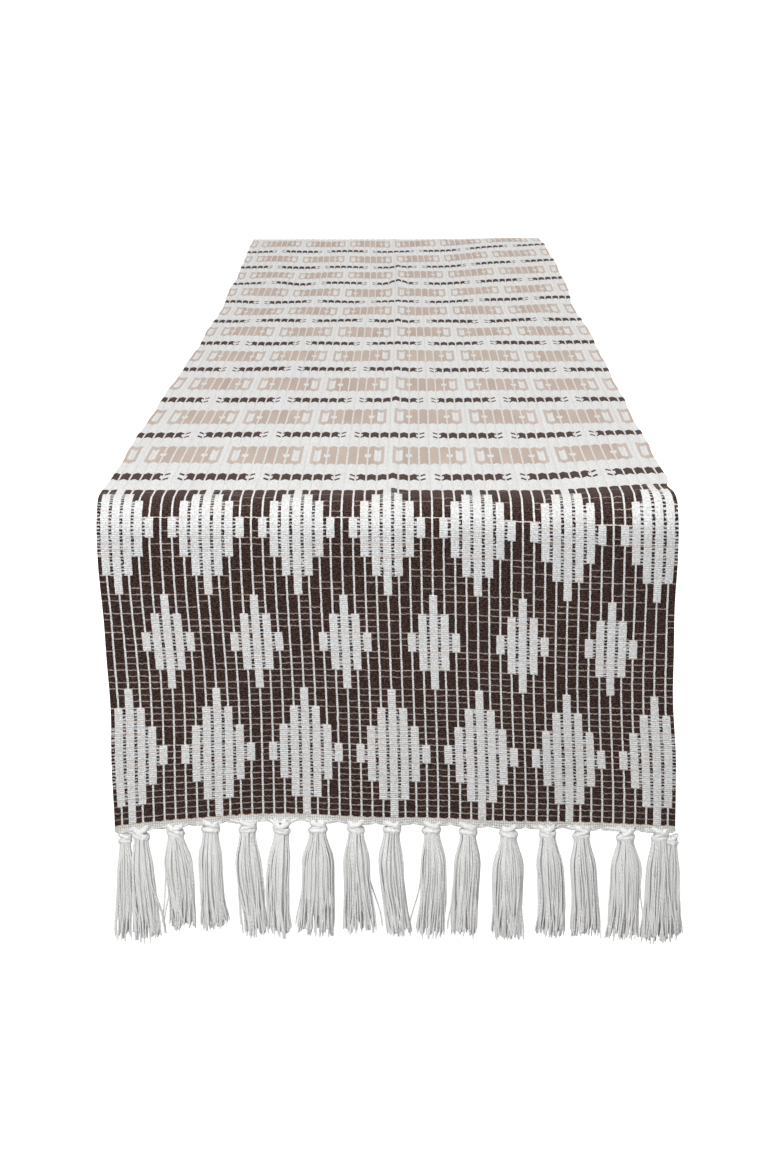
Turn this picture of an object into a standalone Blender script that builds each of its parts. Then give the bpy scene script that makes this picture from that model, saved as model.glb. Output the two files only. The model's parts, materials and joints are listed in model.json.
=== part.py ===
"""Table runner with knotted tassels, draped over a table.

One woven cloth lies along the table and hangs down past both of its ends. Where it turns over the
table's rounded edge it bends, and beyond the bend it hangs as a straight drop: a patterned band,
then a plain header, whose warp ends are gathered and knotted into a row of tassels.

Frame: X runs across the runner, Y along it and Z up. The origin is on the underside of the cloth,
in the middle of the face that rests on the table. The front drop is at -Y and the rear one at +Y.

Each drop swings on the line its bend unrolls about, and each tassel on a line through its knot.
"""

import math

import bmesh
import bpy

# Woven cloth
CLOTH_WIDTH = 0.330
CLOTH_LENGTH = 1.821  # hem to hem, laid flat
CLOTH_THICKNESS = 0.0024
WEAVE_STEP = 0.0113  # one step of the band's stepped diamonds
BAND_STEPS = 19
HEADER_LENGTH = 0.004  # plain strip between the band and the tassels

# How it is draped
TABLE_LENGTH = 1.3515  # flat stretch of cloth on the table, between its two bends
TABLE_EDGE_RADIUS = 0.0168
BAND_ON_TABLE = 0.0155  # how far the front band reaches back onto the table

# Tassels
TASSELS_PER_END = 15
TASSEL_INSET = 0.011  # from the cloth's side edge to the middle of the outermost tassel
TASSEL_CLEARANCE = 0.004  # between one tassel's skirt and the next
TASSEL_FLATNESS = 0.74  # a tassel's depth over its width
TASSEL_LENGTH = 0.0665  # from the middle of the knot to the cut ends
KNOT_WIDTH = 0.0108
KNOT_HEIGHT = 0.0080
NECK_WIDTH = 0.0072  # just under the knot
NECK_DROP = 0.0056  # from the middle of the knot to the neck
TASSEL_SIDES = 12

GAP = 0.0003  # between pieces that meet
BEND_FACETS = 16

# Worked out from the sizes above
BEND_RADIUS = TABLE_EDGE_RADIUS + CLOTH_THICKNESS / 2  # to the middle of the cloth
BEND_ARC = BEND_RADIUS * math.pi / 2
BAND_LENGTH = BAND_STEPS * WEAVE_STEP
FRONT_HANG = BAND_LENGTH + HEADER_LENGTH - BAND_ON_TABLE - BEND_ARC
REAR_HANG = CLOTH_LENGTH - TABLE_LENGTH - FRONT_HANG - 2 * BEND_ARC
REAR_FIELD_HANG = REAR_HANG - BAND_LENGTH - HEADER_LENGTH
TASSEL_SPACING = (CLOTH_WIDTH - 2 * TASSEL_INSET) / (TASSELS_PER_END - 1)
SKIRT_WIDTH = TASSEL_SPACING - TASSEL_CLEARANCE
BEND_CENTRE_Y = TABLE_LENGTH / 2
BEND_CENTRE_Z = -TABLE_EDGE_RADIUS
# Turning a drop level about this line unrolls its bend to the bend's own length.
HINGE_OFFSET = BEND_RADIUS * math.pi / 4
HINGE_Y = BEND_CENTRE_Y + HINGE_OFFSET
HINGE_Z = BEND_CENTRE_Z + HINGE_OFFSET
DROP_Y = BEND_CENTRE_Y + BEND_RADIUS

WHITE_COTTON = (0.79, 0.79, 0.77)
BROWN_COTTON = (0.055, 0.030, 0.025)
TASSEL_COTTON = (0.72, 0.71, 0.66)


def clear_scene():
    for obj in list(bpy.data.objects):
        bpy.data.objects.remove(obj, do_unlink=True)


def make_collection(name):
    collection = bpy.data.collections.new(name)
    bpy.context.scene.collection.children.link(collection)
    return collection


def cotton(name, colour):
    material = bpy.data.materials.new(name)
    material.use_nodes = True
    shader = material.node_tree.nodes["Principled BSDF"]
    shader.inputs["Base Color"].default_value = (*colour, 1)
    shader.inputs["Roughness"].default_value = 0.9
    shader.inputs["Metallic"].default_value = 0
    return material


def add_object(name, mesh, collection, colour, parent=None, location=(0, 0, 0)):
    obj = bpy.data.objects.new(name, mesh)
    collection.objects.link(obj)
    obj.parent = parent
    obj.location = location
    obj.data.materials.append(cotton(name, colour))
    return obj


def hinge_line(name, collection, location, parent=None):
    """An empty on a joint's axis, which what swings there is parented to."""
    empty = bpy.data.objects.new(name, None)
    empty.empty_display_size = 0.02
    collection.objects.link(empty)
    empty.parent = parent
    empty.location = location
    return empty


def panel(name, size, middle, collection, colour, parent=None, origin=(0, 0, 0)):
    """A flat stretch of cloth, size across all three axes, placed by its middle in the world.

    origin is where its parent stands in the world, and so where its own origin lies.
    """
    mesh = bpy.data.meshes.new(name)
    shape = bmesh.new()
    bmesh.ops.create_cube(shape, size=1)
    bmesh.ops.scale(shape, vec=size, verts=shape.verts)
    bmesh.ops.translate(shape, vec=[m - o for m, o in zip(middle, origin)], verts=shape.verts)
    shape.to_mesh(mesh)
    shape.free()
    return add_object(name, mesh, collection, colour, parent)


def bend(name, side, collection, colour):
    """The quarter turn of cloth over the table's edge, on the side -1 (front) or 1 (rear)."""
    gap_angle = GAP / BEND_RADIUS
    shape = bmesh.new()
    start = (BEND_RADIUS * math.sin(gap_angle), BEND_RADIUS * math.cos(gap_angle))
    ends = [shape.verts.new((x, side * start[0], start[1])) for x in (-CLOTH_WIDTH / 2, CLOTH_WIDTH / 2)]
    edge = shape.edges.new(ends)
    bmesh.ops.spin(
        shape,
        geom=[*ends, edge],
        cent=(0, 0, 0),
        axis=(-side, 0, 0),
        dvec=(0, 0, 0),
        angle=math.pi / 2 - 2 * gap_angle,
        steps=BEND_FACETS,
    )
    bmesh.ops.recalc_face_normals(shape, faces=shape.faces)
    mesh = bpy.data.meshes.new(name)
    shape.to_mesh(mesh)
    shape.free()
    location = (0, side * BEND_CENTRE_Y, BEND_CENTRE_Z)
    obj = add_object(name, mesh, collection, colour, location=location)
    solidify = obj.modifiers.new("Thickness", "SOLIDIFY")
    solidify.thickness = CLOTH_THICKNESS
    solidify.offset = 0
    solidify.use_even_offset = True
    return obj


def tassel_profile():
    """Half of a tassel's outline, top to bottom: the knot, the neck, the flared skirt, its cut ends."""
    points = [(0, KNOT_HEIGHT / 2)]
    for angle in (55, 20, -15):
        turn = math.radians(angle)
        points.append((KNOT_WIDTH / 2 * math.cos(turn), KNOT_HEIGHT / 2 * math.sin(turn)))
    points.append((NECK_WIDTH / 2, -NECK_DROP))
    points.append((SKIRT_WIDTH * 0.42, -TASSEL_LENGTH * 0.5))
    points.append((SKIRT_WIDTH / 2, -TASSEL_LENGTH * 0.9))
    points.append((SKIRT_WIDTH * 0.44, -TASSEL_LENGTH))
    points.append((0, -TASSEL_LENGTH))
    return points


def tassel(name, parent, collection):
    """A knotted bundle of warp ends, turned about Z and flattened along Y."""
    mesh = bpy.data.meshes.new(name)
    shape = bmesh.new()
    corners = [shape.verts.new((x, 0, z)) for x, z in tassel_profile()]
    for upper, lower in zip(corners, corners[1:]):
        shape.edges.new((upper, lower))
    shape.to_mesh(mesh)
    shape.free()
    obj = add_object(name, mesh, collection, TASSEL_COTTON, parent)
    obj.scale = (1, TASSEL_FLATNESS, 1)
    turned = obj.modifiers.new("Turn", "SCREW")
    turned.axis = "Z"
    turned.steps = TASSEL_SIDES
    turned.render_steps = TASSEL_SIDES
    turned.use_merge_vertices = True
    turned.merge_threshold = 0.00001
    turned.use_smooth_shade = True
    return obj


def stretch(name, side, top, bottom, colour, collection, hinge, pivot):
    """Hanging cloth from the height top down to bottom, less the gap to what is above it."""
    size = (CLOTH_WIDTH, CLOTH_THICKNESS, top - GAP - bottom)
    middle = (0, side * DROP_Y, bottom + size[2] / 2)
    panel(name, size, middle, collection, colour, hinge, pivot)


def drop(end, side, hang, collection, field_hang=0):
    """A hanging end of the runner, on the side -1 (front) or 1 (rear).

    The end of the white field comes first, where it hangs too, then band, header and tassels.
    """
    pivot = (0, side * HINGE_Y, HINGE_Z)
    hinge = hinge_line(f"{end}_drop_hinge", collection, pivot)
    hem = BEND_CENTRE_Z - hang
    header_top = hem + HEADER_LENGTH
    band_top = BEND_CENTRE_Z - field_hang
    held = (collection, hinge, pivot)
    if field_hang:
        stretch(f"{end}_field_end", side, BEND_CENTRE_Z + GAP, band_top, WHITE_COTTON, *held)
        stretch(f"{end}_band", side, band_top, header_top, BROWN_COTTON, *held)
    else:
        stretch(f"{end}_band", side, BEND_CENTRE_Z + GAP, header_top, BROWN_COTTON, *held)
    stretch(f"{end}_header", side, header_top, hem, WHITE_COTTON, *held)
    knot_z = hem - GAP - KNOT_HEIGHT / 2
    for number in range(TASSELS_PER_END):
        x = (number - (TASSELS_PER_END - 1) / 2) * TASSEL_SPACING
        name = f"{end}_tassel_{number + 1:02d}"
        place = (x, side * (DROP_Y - HINGE_Y), knot_z - HINGE_Z)
        knot = hinge_line(f"{name}_hinge", collection, place, hinge)
        tassel(name, knot, collection)


def lying_panel(name, front, rear, collection, colour):
    """Cloth that lies on the table from front to rear, both measured along Y."""
    size = (CLOTH_WIDTH, rear - front, CLOTH_THICKNESS)
    panel(name, size, (0, (front + rear) / 2, CLOTH_THICKNESS / 2), collection, colour)


def main():
    clear_scene()
    runner = make_collection("table_runner")
    front_edge = -TABLE_LENGTH / 2
    band_end = front_edge + BAND_ON_TABLE
    lying_panel("front_band_edge", front_edge, band_end - GAP, runner, BROWN_COTTON)
    lying_panel("centre_field", band_end, TABLE_LENGTH / 2, runner, WHITE_COTTON)
    bend("front_bend", -1, runner, BROWN_COTTON)
    bend("rear_bend", 1, runner, WHITE_COTTON)
    drop("front", -1, FRONT_HANG, runner)
    drop("rear", 1, REAR_HANG, runner, REAR_FIELD_HANG)


main()
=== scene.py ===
"""A ribbed cotton table runner with knotted tassels, draped over the two ends of a table.

Across the cloth everything is counted in ribs from its middle line, and along it in metres from
the front band's inner edge, towards the front hem. Both ends carry the same band, so the weave
itself only asks how far a place lies beyond the nearer band's inner edge.
"""

import json
import math

import bpy
import numpy as np
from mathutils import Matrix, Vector


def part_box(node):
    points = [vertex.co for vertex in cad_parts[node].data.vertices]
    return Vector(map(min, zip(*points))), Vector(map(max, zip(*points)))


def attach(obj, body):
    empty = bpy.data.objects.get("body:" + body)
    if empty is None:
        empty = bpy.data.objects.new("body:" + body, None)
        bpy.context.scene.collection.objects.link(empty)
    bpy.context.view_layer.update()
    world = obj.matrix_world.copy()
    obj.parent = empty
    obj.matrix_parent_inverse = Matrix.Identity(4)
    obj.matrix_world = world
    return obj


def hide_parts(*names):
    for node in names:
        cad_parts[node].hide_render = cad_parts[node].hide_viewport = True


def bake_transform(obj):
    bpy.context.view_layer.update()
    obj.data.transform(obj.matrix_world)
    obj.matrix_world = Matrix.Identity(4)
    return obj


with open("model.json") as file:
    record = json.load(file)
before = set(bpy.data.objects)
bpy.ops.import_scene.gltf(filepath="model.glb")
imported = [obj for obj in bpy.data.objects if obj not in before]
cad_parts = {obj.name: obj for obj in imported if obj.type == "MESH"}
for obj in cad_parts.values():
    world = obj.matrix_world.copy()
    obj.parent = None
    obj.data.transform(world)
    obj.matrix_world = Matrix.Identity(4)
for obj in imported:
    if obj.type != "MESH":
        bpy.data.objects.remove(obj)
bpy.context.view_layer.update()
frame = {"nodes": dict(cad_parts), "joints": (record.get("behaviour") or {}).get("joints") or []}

# ---------------------------------------------------------------- sizes, from the frame
FIELD_LOW, FIELD_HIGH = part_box("centre_field")
BEND_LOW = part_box("front_bend")[0]
FRONT_HEADER_LOW, FRONT_HEADER_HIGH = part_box("front_header")
REAR_BAND_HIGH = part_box("rear_band")[1]

WIDTH = FIELD_HIGH.x - FIELD_LOW.x
THICKNESS = FIELD_HIGH.z - FIELD_LOW.z
MIDDLE_Z = FIELD_LOW.z + THICKNESS / 2
BEND_START = FIELD_HIGH.y  # the same distance from the middle at both ends
BEND_RADIUS = -BEND_LOW.y - BEND_START - THICKNESS / 2
BEND_ARC = BEND_RADIUS * math.pi / 2
BEND_CENTRE_Z = MIDDLE_Z - BEND_RADIUS
DROP_Y = BEND_START + BEND_RADIUS

BAND_ON_TABLE = FIELD_LOW.y + BEND_START
FRONT_DROP_START = BAND_ON_TABLE + BEND_ARC
BAND_LENGTH = FRONT_DROP_START + BEND_CENTRE_Z - FRONT_HEADER_HIGH.z
HEADER_LENGTH = FRONT_HEADER_HIGH.z - FRONT_HEADER_LOW.z
REAR_DROP_START = FIELD_LOW.y - BEND_START - BEND_ARC
FIELD_LENGTH = -REAR_DROP_START + BEND_CENTRE_Z - REAR_BAND_HIGH.z
FRONT_HEM = BAND_LENGTH + HEADER_LENGTH
REAR_HEM = -FIELD_LENGTH - FRONT_HEM

ENDS = ("front", "rear")
TASSEL_NAMES = {
    end: sorted(name for name in frame["nodes"] if name.startswith(f"{end}_tassel_"))
    for end in ENDS
}
TASSEL_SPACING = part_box(TASSEL_NAMES["front"][1])[0].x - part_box(TASSEL_NAMES["front"][0])[0].x

# ---------------------------------------------------------------- the weave's own sizes
RIBS = 51.4
HALF_RIBS = RIBS / 2
RIB = WIDTH / RIBS
REPEAT = 8  # ribs from one diamond to the next
BAND_STEPS = 19
STEP = BAND_LENGTH / BAND_STEPS
BIG_ROWS = (3.5, 15.5)  # middles of the rows of big diamonds, in steps from the band's inner edge
SMALL_ROW = 9.5
BIG_REACH = 3.5  # half height of a big diamond's middle column, in steps; each column out loses one
SMALL_REACH = 1.5  # and how many ribs from a big diamond's middle the small ones begin

FIRST_ROW = 0.0250  # from the band to the first row of dashes
ROW_REPEAT = 0.1314  # from one row of dashes to the next
DASH = (0.075, 0.064)  # middle and half length, in row repeats
CARTOUCHE = (0.575, 0.200)
DASH_REACH = 3.56  # half its width, in ribs
CARTOUCHE_REACH = 3.58
CARTOUCHE_SOLID = 2.6  # how far out its thin white lines run
CROSS = (2, 0.30, 0.0042)  # each white cross: ribs from the middle, half its ribs, half its metres
OVAL = (2.94, 0.33, 0.0158)  # and each white oval

LINE_HALF = 0.085  # thin white warp lines, in ribs
FLOAT_HALF = 0.36  # white float columns, in ribs
SELVEDGE = 0.3  # strip without floats along each side edge, in ribs
CREST = 0.00105  # half the cloth's thickness on a rib's crest
VALLEY = 0.00040  # and between two ribs


# ---------------------------------------------------------------- sums that work on arrays and in materials
class Wire:
    """A number inside a material. Sums with it add math nodes."""

    def __init__(self, tree, socket):
        self.tree = tree
        self.socket = socket

    def sum(self, operation, *others):
        node = self.tree.nodes.new("ShaderNodeMath")
        node.operation = operation
        for slot, value in zip(node.inputs, (self, *others)):
            if isinstance(value, Wire):
                self.tree.links.new(value.socket, slot)
            else:
                slot.default_value = value
        return Wire(self.tree, node.outputs[0])

    def __add__(self, other):
        return self.sum("ADD", other)

    def __radd__(self, other):
        return self.sum("ADD", other)

    def __sub__(self, other):
        return self.sum("SUBTRACT", other)

    def __rsub__(self, other):
        return self.sum("MULTIPLY", -1.0) + other

    def __mul__(self, other):
        return self.sum("MULTIPLY", other)

    def __rmul__(self, other):
        return self.sum("MULTIPLY", other)

    def __truediv__(self, other):
        return self.sum("DIVIDE", other)

    def __neg__(self):
        return self.sum("MULTIPLY", -1.0)

    def from_to(self, low, high):
        """0 at low and below, 1 at high and above."""
        result = (self - low) * (1 / (high - low))
        result.socket.node.use_clamp = True
        return result


def both(name, plain):
    """A function of one or two numbers that takes arrays and wires alike."""

    def worked_out(a, b=None):
        others = () if b is None else (b,)
        if isinstance(a, Wire):
            return a.sum(name, *others)
        return plain(a, *others)

    return worked_out


absolute = both("ABSOLUTE", np.abs)
wrap = both("FLOORED_MODULO", np.mod)
greater = both("MAXIMUM", np.maximum)
rounded = both("ROUND", lambda a: np.floor(a + 0.5))
sine = both("SINE", np.sin)
above = both("GREATER_THAN", lambda a, b: (a > b) * 1.0)


def inside(half, distance):
    """1 within half of a middle line, 0 outside."""
    return above(half - distance, 0)


def either(*masks):
    result = masks[0]
    for mask in masks[1:]:
        result = greater(result, mask)
    return result


def beyond_band(s):
    """Metres past the inner edge of the nearer band; negative on the field."""
    return absolute(s + FIELD_LENGTH / 2) - FIELD_LENGTH / 2


# ---------------------------------------------------------------- the weave
def diamonds(q, big, small):
    """The band's three rows of diamonds q steps in, from their half heights there, in steps."""
    return either(
        inside(big, absolute(q - BIG_ROWS[0])),
        inside(small, absolute(q - SMALL_ROW)),
        inside(big, absolute(q - BIG_ROWS[1])),
    )


def weave(k, a):
    """Masks of the face's weave k ribs from the middle line and a metres past a band's inner edge."""
    column = rounded(k)
    off_line = absolute(k - column)
    line = inside(LINE_HALF, off_line)
    from_diamond = absolute(wrap(column + REPEAT / 2, REPEAT) - REPEAT / 2)

    q = a / STEP
    # Each rib's brown ends in a little arch.
    in_band = above(a, 0) * above(BAND_LENGTH - a - 0.0012 * (0.5 - off_line), 0)
    diamond = diamonds(q, BIG_REACH - from_diamond, from_diamond - SMALL_REACH)
    diamond = diamond * inside(HALF_RIBS - SELVEDGE, absolute(k))
    floats = in_band * diamond * inside(FLOAT_HALF, off_line)

    rows = (-a - FIRST_ROW) / ROW_REPEAT
    on_field = above(rows, 0)
    along = wrap(rows, 1)
    ribs_out = absolute(wrap(k + REPEAT / 2, REPEAT) - REPEAT / 2)

    dash_off = absolute(along - DASH[0])
    in_dash_row = on_field * inside(DASH[1], dash_off)
    dash_notch = inside(0.46, absolute(ribs_out - 3.2)) * inside(DASH[1] * 0.45, dash_off)
    dash = in_dash_row * inside(DASH_REACH, ribs_out) * (1 - either(line, dash_notch))

    cart_off = absolute(along - CARTOUCHE[0]) * ROW_REPEAT
    cart_half = CARTOUCHE[1] * ROW_REPEAT
    in_cart_row = on_field * inside(cart_half, cart_off)
    from_middle = REPEAT / 2 - ribs_out
    cross = inside(CROSS[1], absolute(from_middle - CROSS[0])) * inside(CROSS[2], cart_off)
    oval = inside(OVAL[1], absolute(from_middle - OVAL[0])) * inside(OVAL[2], cart_off)
    frame_line = above(from_middle, CARTOUCHE_SOLID)
    thin_line = line * (1 - frame_line)
    cart = in_cart_row * inside(CARTOUCHE_REACH, from_middle) * (1 - either(thin_line, cross, oval))
    ring = cart * frame_line

    return {
        "off_line": off_line,
        "line": line,
        "band": in_band,
        "floats": floats,
        "dash_row": in_dash_row,
        "dash": dash,
        "cart_row": in_cart_row,
        "cart": cart,
        "ring": ring,
        "gap_ribs": from_diamond,
        "q": q,
    }


# ---------------------------------------------------------------- the cloth's shape
# k is in ribs and s in metres, as above, and every amount that the cloth is moved by is in metres.
def smooth(value, low, high):
    """0 before low, 1 after high, easing between them."""
    t = np.clip((value - low) / (high - low), 0, 1)
    return t * t * (3 - 2 * t)


def hump(value, middle, reach):
    """1 at middle, easing to 0 at reach on both sides."""
    return 1 - smooth(np.abs(value - middle), 0, reach)


def run_of_cloth(s):
    """Height and depth of the cloth's middle along its run, and the way its face looks there."""
    front = np.clip((s - BAND_ON_TABLE) / BEND_RADIUS, 0, math.pi / 2)
    rear = np.clip((REAR_DROP_START + BEND_ARC - s) / BEND_RADIUS, 0, math.pi / 2)
    flat = np.clip(s, REAR_DROP_START + BEND_ARC, BAND_ON_TABLE)
    turn = front + rear
    hang = np.maximum(s - FRONT_DROP_START, 0) + np.maximum(REAR_DROP_START - s, 0)
    way = np.where(rear > 0, 1.0, -1.0)
    y = FIELD_LOW.y - flat + way * BEND_RADIUS * np.sin(turn)
    z = BEND_CENTRE_Z + BEND_RADIUS * np.cos(turn) - hang
    return y, z, way * np.sin(turn), np.cos(turn)


def across(k, s):
    """How far from the middle line a rib lies, in metres.

    The cloth spreads at the fold, draws in along the table, and drifts a little to one side.
    """
    on_drop = 0.014 * hump(s, 0.045, 0.105) - 0.004 * hump(s, 0.125, 0.05) + 0.010 * smooth(s, 0.15, 0.205)
    spread = on_drop - 0.029 * smooth(-s, 0.05, 0.72) - 0.018 * hump(s, -0.77, 0.09)
    drift = 0.0045 * smooth(s, 0.03, FRONT_HEM)
    drift = drift + 0.0050 * smooth(-s, 0.05, 0.60) * smooth(1.3 + s, -0.1, 0.3)
    edge = smooth(np.abs(k), HALF_RIBS - 3, HALF_RIBS)
    wander = 0.0005 * np.sin(s * 41 + 1.3 * np.sign(k)) + 0.00025 * np.sin(s * 109 + 2.1 * np.sign(k))
    tuck = 0.0036 * smooth(k, 22, HALF_RIBS) * hump(s, 0.003, 0.022)
    pull = 0.0030 * (1 - (k / HALF_RIBS) ** 2) * smooth(-s, 0.1, 0.6)
    return k * RIB * (1 + spread) + drift + edge * wander - tuck - pull


def slide(k, s):
    """How far along its run the cloth has crept, so that neither the hem nor the rows are level."""
    right = 0.0045 * smooth(k, 2, 22) * smooth(s, 0.0, 0.036)
    right = right + 0.0012 * smooth(k, 0, 20) * smooth(s, 0.08, 0.2)
    corner = np.clip((-k - 12) / (HALF_RIBS - 12), 0, 1)
    left_corner = 0.0058 * corner**2 * smooth(s, 0.13, FRONT_HEM)
    dip = 0.0007 * np.sin(k * 0.21 + 0.6) * smooth(s, 0.08, FRONT_HEM)
    rear = 0.0030 * np.sin(k * 0.14 - 0.4) * smooth(-s, -REAR_DROP_START, -REAR_HEM)
    on_far_half = smooth(-s, 0.50, 0.98) * smooth(s - REAR_DROP_START, 0.03, 0.22)
    bunched = 0.018 * on_far_half * (1 - 0.9 * smooth(k, 4, 25))
    puckers = 0.0065 * hump(k, -14.5, 3.5) - 0.0055 * hump(k, -18.5, 3) - 0.0045 * hump(k, 10, 3.5)
    puckers = puckers * hump(s, -0.955, 0.10) + 0.0050 * hump(k, -20.5, 4) * hump(s, -0.823, 0.09)
    return right + left_corner + dip - rear + bunched + puckers


def scallop(k, s):
    """How far the header's edge is drawn up between one knot and the next."""
    past_band = np.maximum(beyond_band(s) - BAND_LENGTH, 0)
    off_knot = 2 * np.abs(k * RIB / TASSEL_SPACING - np.floor(k * RIB / TASSEL_SPACING + 0.5))
    smile = np.sqrt(np.maximum(1 - off_knot**2, 0))
    return past_band * (0.30 - 0.62 * smile) * np.sign(s)


def ripple(k, s):
    """How far the cloth stands off the plane it should lie in."""
    x = k * RIB
    on_table = smooth(BAND_ON_TABLE - s, 0, 0.06) * smooth(s - REAR_DROP_START, 0, 0.08)
    crease = 0.0013 * hump(k, 0.5, 1.2) * (0.55 + 0.45 * np.sin(s * 17 + 1))
    crease = crease + 0.0030 * hump(k, 0.4, 2.2) * hump(s, -0.95, 0.07)
    waves = 0.0003 * (1 + np.sin(s * 23 + k * 0.11)) + 0.0002 * (1 + np.sin(s * 47 - k * 0.19 + 1))
    short = 0.0004 * (1 + np.sin(s * 12 + k * 0.53 + 1.5 * np.sin(s * 9))) * smooth(-s, 0.05, 0.8)
    far = smooth(-s, 0.75, 1.25) * (0.0004 * (1 + np.sin(s * 31 + x * 9)) + 0.0062 * smooth(x, 0.0, 0.17))
    curl = 0.0040 * smooth(k, 13, HALF_RIBS) * smooth(s, -0.34, -0.02) * smooth(0.085 - s, 0, 0.085)
    curl = curl + 0.0016 * smooth(k, 8, HALF_RIBS) * hump(s, -0.85, 0.45)
    drop = smooth(s, FRONT_DROP_START, FRONT_HEM) + smooth(-s, -REAR_DROP_START, -REAR_HEM)
    folds = 0.0014 * np.sin(x * 34 + 0.8) + 0.0009 * np.sin(x * 71 + s * 14)
    return crease * (1 - 0.5 * drop) + on_table * (waves + short + far) + curl + drop * folds


def relief(k, s):
    """Half the cloth's thickness: round ribs, and the float columns that bridge two of them."""
    masks = weave(k, beyond_band(s))
    ribs = np.abs(np.sin(math.pi * k)) ** 0.75
    floating = np.clip(1 - (masks["off_line"] / 0.46) ** 2, 0, 1) ** 0.5
    in_float = masks["floats"]
    shape = np.where(in_float > 0, 0.25 + 0.85 * floating, ribs)
    sunk = np.where((in_float == 0) & (masks["band"] > 0), 0.92, 1.0)
    return VALLEY + (CREST - VALLEY) * shape * sunk


def cloth_point(k, s, side):
    """Points of the cloth's face (side 1) or underside (side -1), as rows of x, y, z."""
    crept = s + slide(k, s) - scallop(k, s)
    y, z, face_y, face_z = run_of_cloth(crept)
    out = ripple(k, s) + side * relief(k, s)
    return np.stack([across(k, s), y + face_y * out, z + face_z * out], axis=-1)


# ---------------------------------------------------------------- meshes
def object_of(name, points, quads, material, sharp, uvs, values):
    """A smooth-shaded object of quads. uvs hold a pair for each corner, values a number for each point."""
    mesh = bpy.data.meshes.new(name)
    mesh.vertices.add(len(points))
    mesh.vertices.foreach_set("co", points.astype(np.float32).ravel())
    mesh.loops.add(quads.size)
    mesh.loops.foreach_set("vertex_index", quads.astype(np.int32).ravel())
    mesh.polygons.add(len(quads))
    mesh.polygons.foreach_set("loop_start", np.arange(0, quads.size, 4, dtype=np.int32))
    mesh.update(calc_edges=True)
    for map_name, corners in uvs.items():
        layer = mesh.uv_layers.new(name=map_name)
        layer.data.foreach_set("uv", corners.astype(np.float32).ravel())
    for value_name, numbers in values.items():
        attribute = mesh.attributes.new(value_name, "FLOAT", "POINT")
        attribute.data.foreach_set("value", numbers.astype(np.float32))
    mesh.materials.append(material)
    mesh.shade_smooth()
    mesh.set_sharp_from_angle(angle=math.radians(sharp))
    obj = bpy.data.objects.new(name, mesh)
    bpy.context.scene.collection.objects.link(obj)
    return obj


CLOTH_SHARP = 70  # degrees from which an edge stays sharp
# Where a rib is cut into faces: at its white line's edges, its crest and a float column's edges.
RIB_CUTS = (0, LINE_HALF, 0.21, FLOAT_HALF, 0.5, 1 - FLOAT_HALF, 0.79, 1 - LINE_HALF)


def cloth_piece(name, start, end, row_length, material):
    """A closed stretch of the cloth from start to end along its run, with both faces ribbed."""
    inner = np.arange(-25, 25)[:, None] + np.array(RIB_CUTS)
    margin = np.array([0, 0.30, 0.5])
    k = np.concatenate([-HALF_RIBS + margin, inner.ravel(), HALF_RIBS - margin[::-1]])
    k = np.unique(np.round(k, 6))
    rows = max(2, round(abs(end - start) / row_length)) + 1
    s = np.linspace(start, end, rows)
    kk, ss = np.meshgrid(k, s)
    wide = len(k)
    face = cloth_point(kk, ss, 1).reshape(-1, 3)
    under = cloth_point(kk, ss, -1).reshape(-1, 3)
    points = np.concatenate([face, under])

    index = np.arange(rows * wide).reshape(rows, wide)
    quads = np.stack([index[:-1, :-1], index[1:, :-1], index[1:, 1:], index[:-1, 1:]], -1).reshape(-1, 4)
    beneath = rows * wide
    rim = np.concatenate([index[0, :], index[1:, -1], index[-1, -2::-1], index[-2:0:-1, 0]])
    after = np.roll(rim, -1)
    wall = np.stack([rim, after, after + beneath, rim + beneath], -1)
    faces = np.concatenate([quads, quads[:, ::-1] + beneath, wall])

    place = np.tile(np.stack([kk.ravel(), ss.ravel()], -1), (2, 1))
    spread = np.stack([(kk.ravel() + HALF_RIBS) / RIBS, (ss.ravel() - start) / (end - start)], -1)
    face_uv = spread * (0.996, 0.72) + (0.002, 0.002)
    under_uv = spread * (0.996, 0.25) + (0.002, 0.745)
    turns = np.linspace(0.002, 0.998, len(rim) + 1)
    corners = ((turns[:-1], 0.728), (turns[1:], 0.728), (turns[1:], 0.738), (turns[:-1], 0.738))
    wall_uv = np.stack([np.stack([u, np.full(len(rim), v)], -1) for u, v in corners], 1)
    baked = np.concatenate([face_uv[quads], under_uv[quads[:, ::-1]], wall_uv])
    underside = np.repeat([0.0, 1.0], beneath)
    uvs = {"Weave": place[faces], "OFBake": baked}
    return object_of(name, points, faces, material, CLOTH_SHARP, uvs, {"underside": underside})


# ---------------------------------------------------------------- materials
def new_material(name):
    material = bpy.data.materials.new(name)
    material.use_nodes = True
    tree = material.node_tree
    return material, tree, tree.nodes["Principled BSDF"]


def noise(tree, vector, scale, detail=2.0):
    node = tree.nodes.new("ShaderNodeTexNoise")
    node.inputs["Scale"].default_value = scale
    node.inputs["Detail"].default_value = detail
    tree.links.new(vector, node.inputs["Vector"])
    return Wire(tree, node.outputs["Fac"])


def vector_of(tree, x, y, z=0.0):
    node = tree.nodes.new("ShaderNodeCombineXYZ")
    for slot, value in zip(node.inputs, (x, y, z)):
        if isinstance(value, Wire):
            tree.links.new(value.socket, slot)
        else:
            slot.default_value = value
    return node.outputs[0]


def mixed(tree, share, first, second):
    """A colour between first and second, each a colour or a socket."""
    node = tree.nodes.new("ShaderNodeMix")
    node.data_type = "RGBA"
    tree.links.new(share.socket, node.inputs["Factor"])
    for slot, value in ((node.inputs["A"], first), (node.inputs["B"], second)):
        if isinstance(value, tuple):
            slot.default_value = (*value, 1)
        else:
            tree.links.new(value, slot)
    return node.outputs["Result"]


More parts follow.
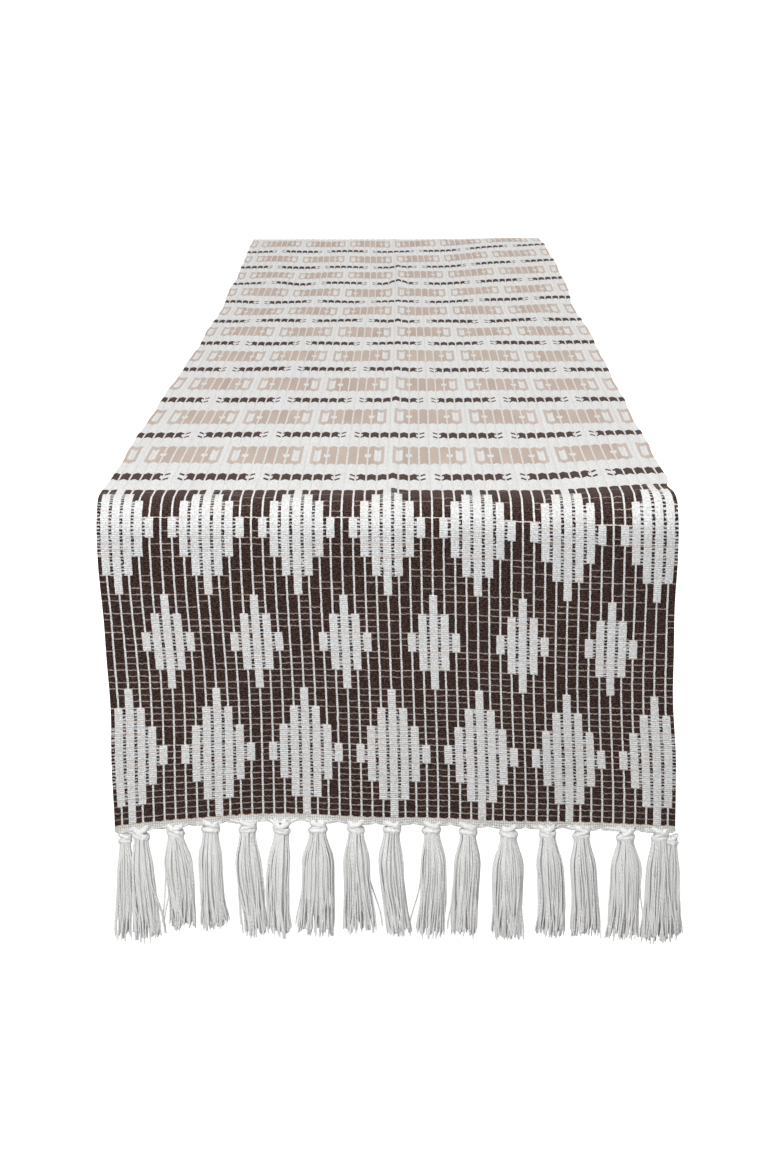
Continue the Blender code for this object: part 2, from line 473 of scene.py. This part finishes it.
def bump(tree, height, distance, shader):
    node = tree.nodes.new("ShaderNodeBump")
    node.inputs["Distance"].default_value = distance
    tree.links.new(height.socket, node.inputs["Height"])
    tree.links.new(node.outputs[0], shader.inputs["Normal"])


WHITE = (0.88, 0.88, 0.875)
WHITE_SHADE = (0.44, 0.44, 0.44)
HEADER = (0.80, 0.79, 0.765)
HEADER_SHADE = (0.50, 0.49, 0.475)
TAN_THREAD = (0.74, 0.58, 0.44)
BROWN = (0.0105, 0.0038, 0.0027)
BROWN_LIGHT = (0.108, 0.061, 0.049)
WEFT_TINT = (0.74, 0.64, 0.58)
TAUPE = (0.50, 0.395, 0.335)
TAUPE_LIGHT = (0.61, 0.515, 0.45)

PICK_MM = 1.26  # from one weft yarn to the next
PLY_MM = 1.05  # from one ply of a warp yarn to the next
STITCH_MM = 1.32  # from one warp end of the header to the next
SPECKS_PER_STEP = 5.7


def weave_material():
    material, tree, shader = new_material("ribbed_cotton")
    uv = tree.nodes.new("ShaderNodeUVMap")
    uv.uv_map = "Weave"
    parts = tree.nodes.new("ShaderNodeSeparateXYZ")
    tree.links.new(uv.outputs[0], parts.inputs[0])
    k = Wire(tree, parts.outputs["X"])
    s = Wire(tree, parts.outputs["Y"])
    attribute = tree.nodes.new("ShaderNodeAttribute")
    attribute.attribute_name = "underside"
    under = above(Wire(tree, attribute.outputs["Fac"]), 0.5)

    x_mm = k * (RIB * 1000)
    s_mm = s * 1000
    place = vector_of(tree, x_mm, s_mm, under * 40)
    fine = noise(tree, place, 0.95, 2)
    coarse = noise(tree, place, 0.12, 3)
    wobble = noise(tree, vector_of(tree, x_mm, s_mm, 90.0), 0.45, 2)
    wobble_along = noise(tree, vector_of(tree, x_mm, s_mm, 130.0), 0.60, 2)

    near_k = k + (wobble - 0.5) * 0.10
    # On the field each rib's crest carries its rows a little way up the cloth.
    off_line = absolute(near_k - rounded(near_k))
    crest = off_line * off_line * above(-s, 0.004) * 0.0090
    near_a = beyond_band(s + crest) + (wobble_along - 0.5) * 0.0012
    masks = weave(near_k, near_a)
    q = masks["q"]

    # Single white weft lines across the brown cells, three to a step, here and there left out.
    thirds = q * 3 + (wobble - 0.5) * 0.25
    nearest = rounded(thirds)
    cell = rounded(k + 0.5)
    shown = noise(tree, vector_of(tree, cell * 0.30, nearest * 3.1, 7.0), 1.0, 2)
    on_step = inside(0.1, absolute(wrap(nearest + 0.5, 3) - 0.5))
    first_gap = above(masks["gap_ribs"], 2.5) * inside(0.5, absolute(nearest - 9))
    shown = shown + q * 0.014 + on_step * 0.05 + first_gap
    weft = inside(0.075, absolute(thirds - nearest)) * above(shown, 0.615)
    weft = weft * (shown - 0.30).from_to(0, 0.9)

    # White specks where the brown shows between two float columns.
    ribs_out = absolute(wrap(near_k + REPEAT / 2, REPEAT) - REPEAT / 2)
    between = diamonds(q, BIG_REACH - rounded(ribs_out + 0.5), rounded(ribs_out - 0.5) - SMALL_REACH)
    specks = between * above(sine(q * (2 * math.pi * SPECKS_PER_STEP)) + (wobble - 0.5) * 6, 0.1)

    band = masks["band"]
    brown_face = band * (1 - either(masks["floats"], masks["line"], weft, specks * 0.80))
    brown_face = either(brown_face, masks["dash"])
    taupe_face = masks["cart"] * (1 - masks["ring"] * 0.18)

    # The underside shows each row's coloured yarn wherever the face hides it.
    hidden_dash = masks["dash_row"] * (1 - masks["dash"])
    brown_under = either(band * masks["floats"], hidden_dash) * (1 - masks["line"])
    taupe_under = masks["cart_row"] * (1 - masks["cart"]) * (1 - masks["line"])
    brown = brown_face * (1 - under) + brown_under * under
    taupe = taupe_face * (1 - under) + taupe_under * under

    picks = sine(s_mm * (2 * math.pi / PICK_MM) + (wobble - 0.5) * 4)
    plies = sine(x_mm * (2 * math.pi / PLY_MM) + picks * 1.2)
    grain = fine.from_to(0.42, 0.60)
    # Painted shade: the white is darkened a little along the grooves between the ribs, outside the bands.
    painted_groove_shade = masks["line"] * (1 - masks["band"])
    white = (grain * 0.50 + coarse.from_to(0.4, 0.7) * 0.08 + painted_groove_shade * 0.10).from_to(0, 1)
    white = mixed(tree, white, WHITE, WHITE_SHADE)
    white = mixed(tree, weft.from_to(0, 0.2), white, WEFT_TINT)
    stitch = inside(0.17, absolute(wrap(x_mm / STITCH_MM + (wobble - 0.5) * 0.5, 1) - 0.5))
    header = mixed(tree, (stitch * 0.75 + grain * 0.35).from_to(0, 1), HEADER, HEADER_SHADE)
    past = near_a - BAND_LENGTH
    tan = inside(0.0004, absolute(past + 0.0001)) * coarse.from_to(0.3, 0.6)
    header = mixed(tree, tan, header, TAN_THREAD)
    white = mixed(tree, above(past, -0.0006), white, header)
    # Painted light: the brown is painted a little paler on the table, where the cloth faces up to the
    # light, than on the drops.
    painted_top_light = (-near_a + 0.035).from_to(0, 0.030) * 0.25
    brown_yarn = mixed(tree, (grain * 0.70 + picks * 0.08 + painted_top_light).from_to(0, 1), BROWN, BROWN_LIGHT)
    per_rib = noise(tree, vector_of(tree, cell * 3.7, s * 9, 3.0), 1.0, 2)
    fade = (per_rib.from_to(0.3, 0.7) * 0.8 + (grain - 0.5) * 0.4).from_to(0, 1)
    taupe_yarn = mixed(tree, fade, TAUPE, TAUPE_LIGHT)
    colour = mixed(tree, taupe, white, taupe_yarn)
    colour = mixed(tree, brown, colour, brown_yarn)
    tree.links.new(colour, shader.inputs["Base Color"])

    rough = fine * 0.10 + 0.84
    tree.links.new(rough.socket, shader.inputs["Roughness"])
    shader.inputs["Specular IOR Level"].default_value = 0.15
    shader.inputs["Sheen Weight"].default_value = 0.03
    shader.inputs["Sheen Roughness"].default_value = 0.40
    height = picks * 0.30 + plies * 0.15 + fine * 1.1 + either(masks["line"], weft) * 0.5
    bump(tree, height, 0.00050, shader)
    return material


def yarn_material():
    material, tree, shader = new_material("tassel_yarn")
    uv = tree.nodes.new("ShaderNodeUVMap")
    uv.uv_map = "Yarn"
    parts = tree.nodes.new("ShaderNodeSeparateXYZ")
    tree.links.new(uv.outputs[0], parts.inputs[0])
    around = Wire(tree, parts.outputs["X"])
    along = Wire(tree, parts.outputs["Y"])
    strand = tree.nodes.new("ShaderNodeAttribute")
    strand.attribute_name = "strand"
    tint = Wire(tree, strand.outputs["Fac"])
    twist = sine((around + along * 420 + tint * 37) * (2 * math.pi))
    place = vector_of(tree, around * 2, along * 900, tint * 50)
    fibre = noise(tree, place, 1.0, 3)
    shade = (tint * 0.30 + fibre.from_to(0.3, 0.7) * 0.25 + twist * 0.06).from_to(0, 1)
    colour = mixed(tree, shade, (0.88, 0.875, 0.86), (0.66, 0.655, 0.63))
    tree.links.new(colour, shader.inputs["Base Color"])
    rough = fibre * 0.12 + 0.82
    tree.links.new(rough.socket, shader.inputs["Roughness"])
    shader.inputs["Specular IOR Level"].default_value = 0.2
    shader.inputs["Sheen Weight"].default_value = 0.3
    shader.inputs["Sheen Roughness"].default_value = 0.5
    bump(tree, twist * 0.6 + fibre, 0.00015, shader)
    return material


# ---------------------------------------------------------------- tassels
STRAND_SHARP = 75  # degrees from which an edge stays sharp


class Yarns:
    """Collects strands of yarn, each a round tube, into one mesh."""

    def __init__(self):
        self.points, self.quads, self.uvs, self.tints = [], [], [], []
        self.count = 0

    def strand(self, line, radius, tint, closed=False, sides=6, depth=1.0, bundled=1):
        """A strand along line, an array of points; radius may change along it. depth flattens it.

        bundled is how many strands its surface looks like.
        """
        steps = len(line)
        ahead = np.roll(line, -1, 0) - np.roll(line, 1, 0) if closed else np.gradient(line, axis=0)
        ahead = ahead / np.linalg.norm(ahead, axis=1, keepdims=True)
        aside = np.cross(ahead, (0.13, 0.95, 0.27))
        aside /= np.linalg.norm(aside, axis=1, keepdims=True)
        up = np.cross(ahead, aside)
        turns = (np.arange(sides) * (2 * math.pi / sides))[None, :, None]
        ring = np.cos(turns) * aside[:, None] + np.sin(turns) * up[:, None] * depth
        points = line[:, None] + ring * np.broadcast_to(radius, steps)[:, None, None]
        index = np.arange(steps * sides).reshape(steps, sides) + self.count
        lower = index if closed else index[:-1]
        upper = np.roll(index, -1, 0) if closed else index[1:]
        walls = np.stack([lower, np.roll(lower, -1, 1), np.roll(upper, -1, 1), upper], -1).reshape(-1, 4)
        around = np.broadcast_to(np.arange(sides) / sides, lower.shape) * bundled
        length = np.linalg.norm(line[-1] - line[0]) if not closed else 3 * np.ptp(line[:, 0])
        length = length / bundled
        low = np.broadcast_to((np.arange(len(lower)) / steps * length)[:, None], lower.shape)
        step = length / steps
        turn = bundled / sides
        corners = ((around, low), (around + turn, low), (around + turn, low + step), (around, low + step))
        self.points.append(points.reshape(-1, 3))
        self.quads.append(walls)
        self.uvs.append(np.stack([np.stack(corner, -1).reshape(-1, 2) for corner in corners], 1))
        if not closed:
            first, last = index[0], index[-1]
            halves = [(0, corner + 2, corner + 1, corner) for corner in range(1, sides - 1, 2)]
            caps = [first[list(half)] for half in halves] + [last[list(half[::-1])] for half in halves]
            self.quads.append(np.array(caps))
            self.uvs.append(np.zeros((len(caps), 4, 2)))
        self.tints.append(np.full(steps * sides, tint))
        self.count += steps * sides

    def make(self, name, material):
        uvs = {"Yarn": np.concatenate(self.uvs)}
        values = {"strand": np.concatenate(self.tints)}
        points = np.concatenate(self.points)
        quads = np.concatenate(self.quads)
        return object_of(name, points, quads, material, STRAND_SHARP, uvs, values)


STRAND = 0.00048  # a strand's radius
SKIRT_BUNDLE = 30  # strands that the core of a skirt looks like
GOLDEN = math.pi * (3 - math.sqrt(5))

# For each front tassel, in millimetres: how far its knot stands off its even place, how far its ends
# lean, how far its middle bows, half its width in the middle and at the ends, and its length.
FRONT_TASSELS = (
    (4.5, 3.0, 0.0, 7.2, 8.0, 65.5),
    (3.1, 2.7, 1.6, 8.6, 7.6, 60.0),
    (1.8, 1.4, -0.6, 6.9, 7.4, 63.0),
    (1.6, 4.7, -0.8, 7.4, 6.2, 66.5),
    (-0.4, -1.8, -2.2, 6.7, 6.0, 65.5),
    (-1.1, -1.8, 0.2, 9.4, 11.0, 66.5),
    (-0.7, 2.4, 0.0, 7.8, 10.6, 63.5),
    (-1.5, 4.6, -1.2, 7.4, 6.4, 66.5),
    (-0.4, -0.9, 1.5, 7.8, 8.2, 66.5),
    (-0.7, -2.1, 0.0, 8.2, 7.6, 65.0),
    (1.0, -0.3, 0.4, 8.8, 9.2, 67.0),
    (2.0, 2.4, 2.0, 7.8, 7.9, 64.0),
    (0.0, 3.3, 1.0, 7.8, 9.0, 63.5),
    (4.0, -0.2, 0.9, 9.2, 9.0, 63.5),
    (2.1, -0.8, 0.0, 7.2, 7.6, 66.0),
)


def add_skirt(yarns, knot, rng, lean, bow, middle, ends, length, strands=74):
    """The loose warp ends below the knot: tight at the neck, full in the middle, ragged at the ends."""
    t = np.linspace(0, 1, 14)
    neck = min(0.0043, middle * 0.6)
    wide = neck + (middle - neck) * smooth(t, 0.0, 0.32) + (ends - middle) * smooth(t, 0.40, 0.95)
    deep = (0.0042 + 0.0020 * smooth(t, 0.0, 0.4)) * min(1.0, middle / 0.0075)
    aside = lean * smooth(t, 0.1, 1.1) + bow * np.sin(math.pi * t)
    loosen = smooth(t, 0.10, 0.6)
    clumps = rng.uniform(-1, 1, (9, 3))

    inside_end = 0.80
    centre = np.stack([np.interp(t * inside_end, t, aside), 0 * t, -0.0020 - length * inside_end * t], -1)
    girth = np.interp(t * inside_end, t, wide) * (0.80 - 0.25 * smooth(t, 0.7, 1.0))
    yarns.strand(centre + knot, girth, 0.5, sides=16, depth=0.66, bundled=SKIRT_BUNDLE)

    for number in range(strands):
        outer = number % 3 > 0
        reach = rng.uniform(0.84, 1.0) if outer else rng.uniform(0.25, 0.80)
        angle = number * GOLDEN + rng.uniform(-0.2, 0.2)
        pull, phase, ragged = clumps[int(angle % (2 * math.pi) / (2 * math.pi) * len(clumps))]
        end = length * (rng.uniform(0.92, 1.0) + 0.03 * ragged)
        wave = rng.uniform(0.0001, 0.0005)
        pitch, first, second = rng.uniform(0.7, 1.5), *rng.uniform(0, 2 * math.pi, 2)
        x = aside + math.cos(angle) * reach * wide
        clump = 0.0009 * pull * np.sin(4 * t + 3 * phase)
        x = x + loosen * (wave * np.sin(2 * math.pi * pitch * t + first) + clump)
        x = x + rng.normal() * 0.0009 * smooth(t, 0.65, 1.0)
        y = math.sin(angle) * reach * deep + loosen * wave * np.sin(2 * math.pi * pitch * t + second)
        if rng.random() < 0.045:
            x = x + rng.choice([-1, 1]) * rng.uniform(0.002, 0.006) * smooth(t, 0.35, 1.0)
        z = -0.0024 - end * t
        radius = STRAND * np.where(t > 0.97, 0.8, 1.0)
        yarns.strand(np.stack([x, y, z], -1) + knot, radius, rng.random())


# Height, slope and reach of each turn of a knot; heights and reaches in metres.
KNOT_TURNS = (
    (0.0017, 0.42, 0.0035),
    (-0.0018, -0.05, 0.0038),
    (0.0001, -0.55, 0.0036),
)


def add_knot(yarns, knot, rng, size=1.0):
    """An overhand knot: fat turns of the bundle at different slants, each with strands over it."""
    turns = np.linspace(0, 2 * math.pi, 24, endpoint=False)
    hand = rng.choice([-1, 1])
    for height, slope, reach in KNOT_TURNS:
        slope = hand * slope + rng.uniform(-0.14, 0.14)
        height = height + rng.uniform(-0.0003, 0.0003)
        reach = reach + rng.uniform(-0.0003, 0.0004)

        def turn(out, up, radius, tint, sides):
            wide = size * (reach + out)
            x = wide * np.cos(turns)
            z = size * (height + up) + x * slope + 0.0003 * np.sin(turns * 2 + hand)
            line = np.stack([x, 0.76 * wide * np.sin(turns), z], -1)
            yarns.strand(line + knot, radius * size, tint, closed=True, sides=sides)

        turn(0, 0, 0.00160, 0.30, 12)
        for slant in np.linspace(-1.25, 1.25, 6):
            turn(0.00142 * math.cos(slant), 0.00150 * math.sin(slant), 0.00042, rng.random() * 0.5, 6)


def add_fan(yarns, knot, hem, rng):
    """The header's warp ends, drawn in from the hem to the knot, and rolled together along their edge."""
    t = np.linspace(0, 1, 9)[:, None]
    for share in np.linspace(-0.86, 0.86, 26):
        front = rng.choice([-1, 1]) * 0.0008
        end = np.array(knot) + (share * 0.0040, front, 0.0026)
        line = (1 - t) * hem(share, 0.0012) + t * end
        line[:, 1] += front * 0.6 * np.sin(math.pi * t[:, 0])
        yarns.strand(line, STRAND, rng.random() * 0.6)
    t = np.linspace(0, 1, 14)
    for side in (-1, 1):
        edge = np.array([hem(side * (1 - 0.80 * share), 0.0) for share in t])
        end = np.array(knot) + (side * 0.0034, 0, 0.0022)
        draw = smooth(t, 0.30, 1.0)[:, None]
        path = edge * (1 - draw) + end * draw
        for ply in range(3):
            twist = 2 * math.pi * (ply / 3 + 1.7 * t) * side
            around = np.stack([0 * t, np.cos(twist), np.sin(twist)], -1) * 0.00046
            yarns.strand(path + around, 0.00054, rng.random() * 0.4)


def tassels(end, yarn):
    """Each tassel swings with its own body; the ends drawn in to its knot stay with the drop."""
    rng = np.random.default_rng(7 if end == "front" else 11)
    hem_s = FRONT_HEM if end == "front" else REAR_HEM
    joints = {joint["child"]: joint for joint in frame["joints"]}
    fans = Yarns()
    knots = []
    for number, name in enumerate(TASSEL_NAMES[end]):
        pivot = Vector(joints[name]["pos_m"])
        k = pivot.x / RIB
        hem_x = cloth_point(np.array([k]), np.array([hem_s]), 0)[0][0]
        if end == "front":
            sizes = np.array(FRONT_TASSELS[number]) / 1000
        else:
            sizes = rng.uniform((-1.5, -3, -1.5, 7.2, 7.5, 62), (1.5, 3, 1.5, 9.2, 10.5, 66.5)) / 1000
        shift, lean, bow, middle, ends, length = sizes
        sunk = 0.0014 - 0.9 * abs(slide(k, hem_s)) if end == "front" else 0
        knot = Vector((hem_x + shift, pivot.y, pivot.z + sunk + rng.uniform(-0.0005, 0.0005)))

        yarns = Yarns()
        add_knot(yarns, knot, rng)
        add_skirt(yarns, knot, rng, lean, bow, middle, ends, length)
        if number in (0, len(TASSEL_NAMES[end]) - 1):
            # The cloth's corner is knotted by itself, beside the outermost tassel.
            outward = -1 if number == 0 else 1
            apart = 0.0095 if number == 0 else 0.0072
            outer = knot + Vector((outward * apart, 0.0006, -0.0036))
            add_knot(yarns, outer, rng, 0.74)
            add_skirt(yarns, outer, rng, outward * 0.001, 0, 0.0052, 0.0064, length * 0.93, 40)
        tassel = yarns.make(f"{name}_yarn", yarn)
        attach(tassel, name)
        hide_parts(name)

        def hem(share, above_edge, middle=k):
            place = np.array([middle + share * TASSEL_SPACING / RIB * 0.5])
            edge = np.array([hem_s - math.copysign(above_edge, hem_s)])
            return cloth_point(np.clip(place, -HALF_RIBS, HALF_RIBS), edge, 0)[0]

        add_fan(fans, knot, hem, rng)
        knots.append((np.array(knot), hem(1.0, 0.0)))

    # Thin threads run on from one knot to the next, under the edge between them.
    t = np.linspace(0, 1, 12)
    for (left, cusp), (right, _) in zip(knots, knots[1:]):
        for _ in range(rng.integers(0, 3)):
            start = left + (0.0042, rng.uniform(-0.001, 0.001), 0.0016)
            finish = right + (-0.0042, rng.uniform(-0.001, 0.001), 0.0016)
            line = np.outer(1 - t, start) + np.outer(t, finish)
            rise = cusp[2] - rng.uniform(0.0006, 0.0022) - (start[2] + finish[2]) / 2
            line[:, 2] += rise * np.sin(math.pi * t) ** 0.8
            fans.strand(line, 0.00020, 1.0)
    gathered = fans.make(f"{end}_fringe_header", yarn)
    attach(gathered, f"{end}_drop")
    return gathered


# ---------------------------------------------------------------- the cloth, in closed stretches
weave_look = weave_material()
yarn_look = yarn_material()

# Cut in the white gaps between rows of the pattern, and through the bands.
FIELD_CUTS = [-FIRST_ROW - ROW_REPEAT * rows for rows in (2.26, 4.88, 7.26, 9.32)]
BAND_CUT = STEP * 9.5
REAR_CUT = -FIELD_LENGTH - STEP * 5
stretches = (
    # name, start, end, row length, body or bodies, what it replaces
    ("front_hem_cloth", BAND_CUT, FRONT_HEM, STEP / 12, "front_drop", ("front_band", "front_header")),
    ("front_fold_cloth", 0.0, BAND_CUT, STEP / 12, "front", ("front_band_edge", "front_bend")),
    ("field_cloth_1", FIELD_CUTS[0], 0.0, 0.003, "table", ("centre_field",)),
    ("field_cloth_2", FIELD_CUTS[1], FIELD_CUTS[0], 0.003, "table", ("centre_field",)),
    ("field_cloth_3", FIELD_CUTS[2], FIELD_CUTS[1], 0.003, "table", ("centre_field",)),
    ("field_cloth_4", FIELD_CUTS[3], FIELD_CUTS[2], 0.003, "table", ("centre_field",)),
    ("rear_fold_cloth", REAR_CUT, FIELD_CUTS[3], 0.002, "rear", ("rear_bend", "rear_field_end")),
    ("rear_hem_cloth", REAR_HEM, REAR_CUT, STEP / 8, "rear_drop", ("rear_band", "rear_header")),
)
fringes = {end: tassels(end, yarn_look) for end in ENDS}
for name, start, end, row_length, where, nodes in stretches:
    piece = cloth_piece(name, start, end, row_length, weave_look)
    if where == "table":
        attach(piece, "cloth_on_table")
    elif where == "front":
        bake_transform(piece)
    elif where == "rear":
        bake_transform(piece)
    else:
        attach(piece, where)
    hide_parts(*nodes)
    "band_weave" if "field" not in name else "field_weave"
    flat = (WIDTH, abs(end - start))
    fringe = [fringes[e] for e in ENDS if name == f"{e}_hem_cloth"]
    held = "laid" if where == "table" else "draped"


# ---------------------------------------------------------------- floor, light and camera
STUDIO_REACH = 14
FLOOR_Z = -0.62
# name, place, what it is aimed at, size, power, colour
LAMPS = (
    ("key", (-0.25, -1.62, 0.32), (0, -0.69, -0.05), 0.6, 9.2, (0.98, 0.99, 1.0)),
    ("top", (0.3, -0.1, 2.4), (0, 0, 0), 2.0, 34, (1.0, 0.98, 0.95)),
    ("rear", (0.8, 2.6, 0.5), (0, 0.69, -0.1), 1.2, 16, (1.0, 1.0, 1.0)),
)
CAMERA_LENS = 72.74
CAMERA_ASIDE = 0.0085
CAMERA_AWAY = 1.3213  # from the drop's face
CAMERA_ABOVE = 0.2945  # over the cloth on the table
CAMERA_DOWN = math.radians(14.56)
CAMERA_YAW = math.radians(0.289)


def studio():
    scene = bpy.context.scene
    scene.view_settings.view_transform = "Standard"
    scene.view_settings.look = "None"

    bpy.ops.mesh.primitive_plane_add(size=STUDIO_REACH, location=(0, 0, FLOOR_Z))
    floor = bpy.context.object
    floor.name = "floor"
    material, _, shader = new_material("pale_floor")
    shader.inputs["Base Color"].default_value = (0.9, 0.9, 0.9, 1)
    shader.inputs["Roughness"].default_value = 1
    shader.inputs["Emission Color"].default_value = (1, 1, 1, 1)
    shader.inputs["Emission Strength"].default_value = 0.60
    floor.visible_diffuse = False
    floor.data.materials.append(material)

    bpy.ops.mesh.primitive_uv_sphere_add(segments=32, ring_count=16, radius=STUDIO_REACH)
    backdrop = bpy.context.object
    backdrop.name = "backdrop"
    material, _, shader = new_material("white_backdrop")
    shader.inputs["Base Color"].default_value = (0, 0, 0, 1)
    shader.inputs["Emission Color"].default_value = (1, 1, 1, 1)
    shader.inputs["Emission Strength"].default_value = 1.0
    backdrop.data.materials.append(material)
    for rays in ("visible_diffuse", "visible_glossy", "visible_transmission", "visible_shadow"):
        setattr(backdrop, rays, False)

    world = bpy.data.worlds.new("studio")
    scene.world = world
    world.use_nodes = True
    background = world.node_tree.nodes["Background"]
    background.inputs["Color"].default_value = (1, 1, 1, 1)
    way = world.node_tree.nodes.new("ShaderNodeTexCoord")
    parts = world.node_tree.nodes.new("ShaderNodeSeparateXYZ")
    world.node_tree.links.new(way.outputs["Generated"], parts.inputs[0])
    up = Wire(world.node_tree, parts.outputs["Z"]).from_to(-0.4, 0.5)
    world.node_tree.links.new((up * 0.52 + 0.06).socket, background.inputs["Strength"])

    for name, place, aim, size, power, colour in LAMPS:
        light = bpy.data.lights.new(name, "AREA")
        light.size = size
        light.energy = power
        light.color = colour
        lamp = bpy.data.objects.new(name, light)
        lamp.location = place
        lamp.rotation_euler = (Vector(aim) - Vector(place)).to_track_quat("-Z", "Y").to_euler()
        lamp.visible_camera = False
        scene.collection.objects.link(lamp)


def camera():
    """The photograph's view: a long lens, a little above the table's end."""
    data = bpy.data.cameras.new("camera")
    data.lens = CAMERA_LENS
    obj = bpy.data.objects.new("camera", data)
    obj.location = (CAMERA_ASIDE, -DROP_Y - THICKNESS / 2 - CAMERA_AWAY, FIELD_HIGH.z + CAMERA_ABOVE)
    obj.rotation_euler = (math.pi / 2 - CAMERA_DOWN, 0, CAMERA_YAW)
    bpy.context.scene.collection.objects.link(obj)
    bpy.context.scene.camera = obj


studio()
camera()
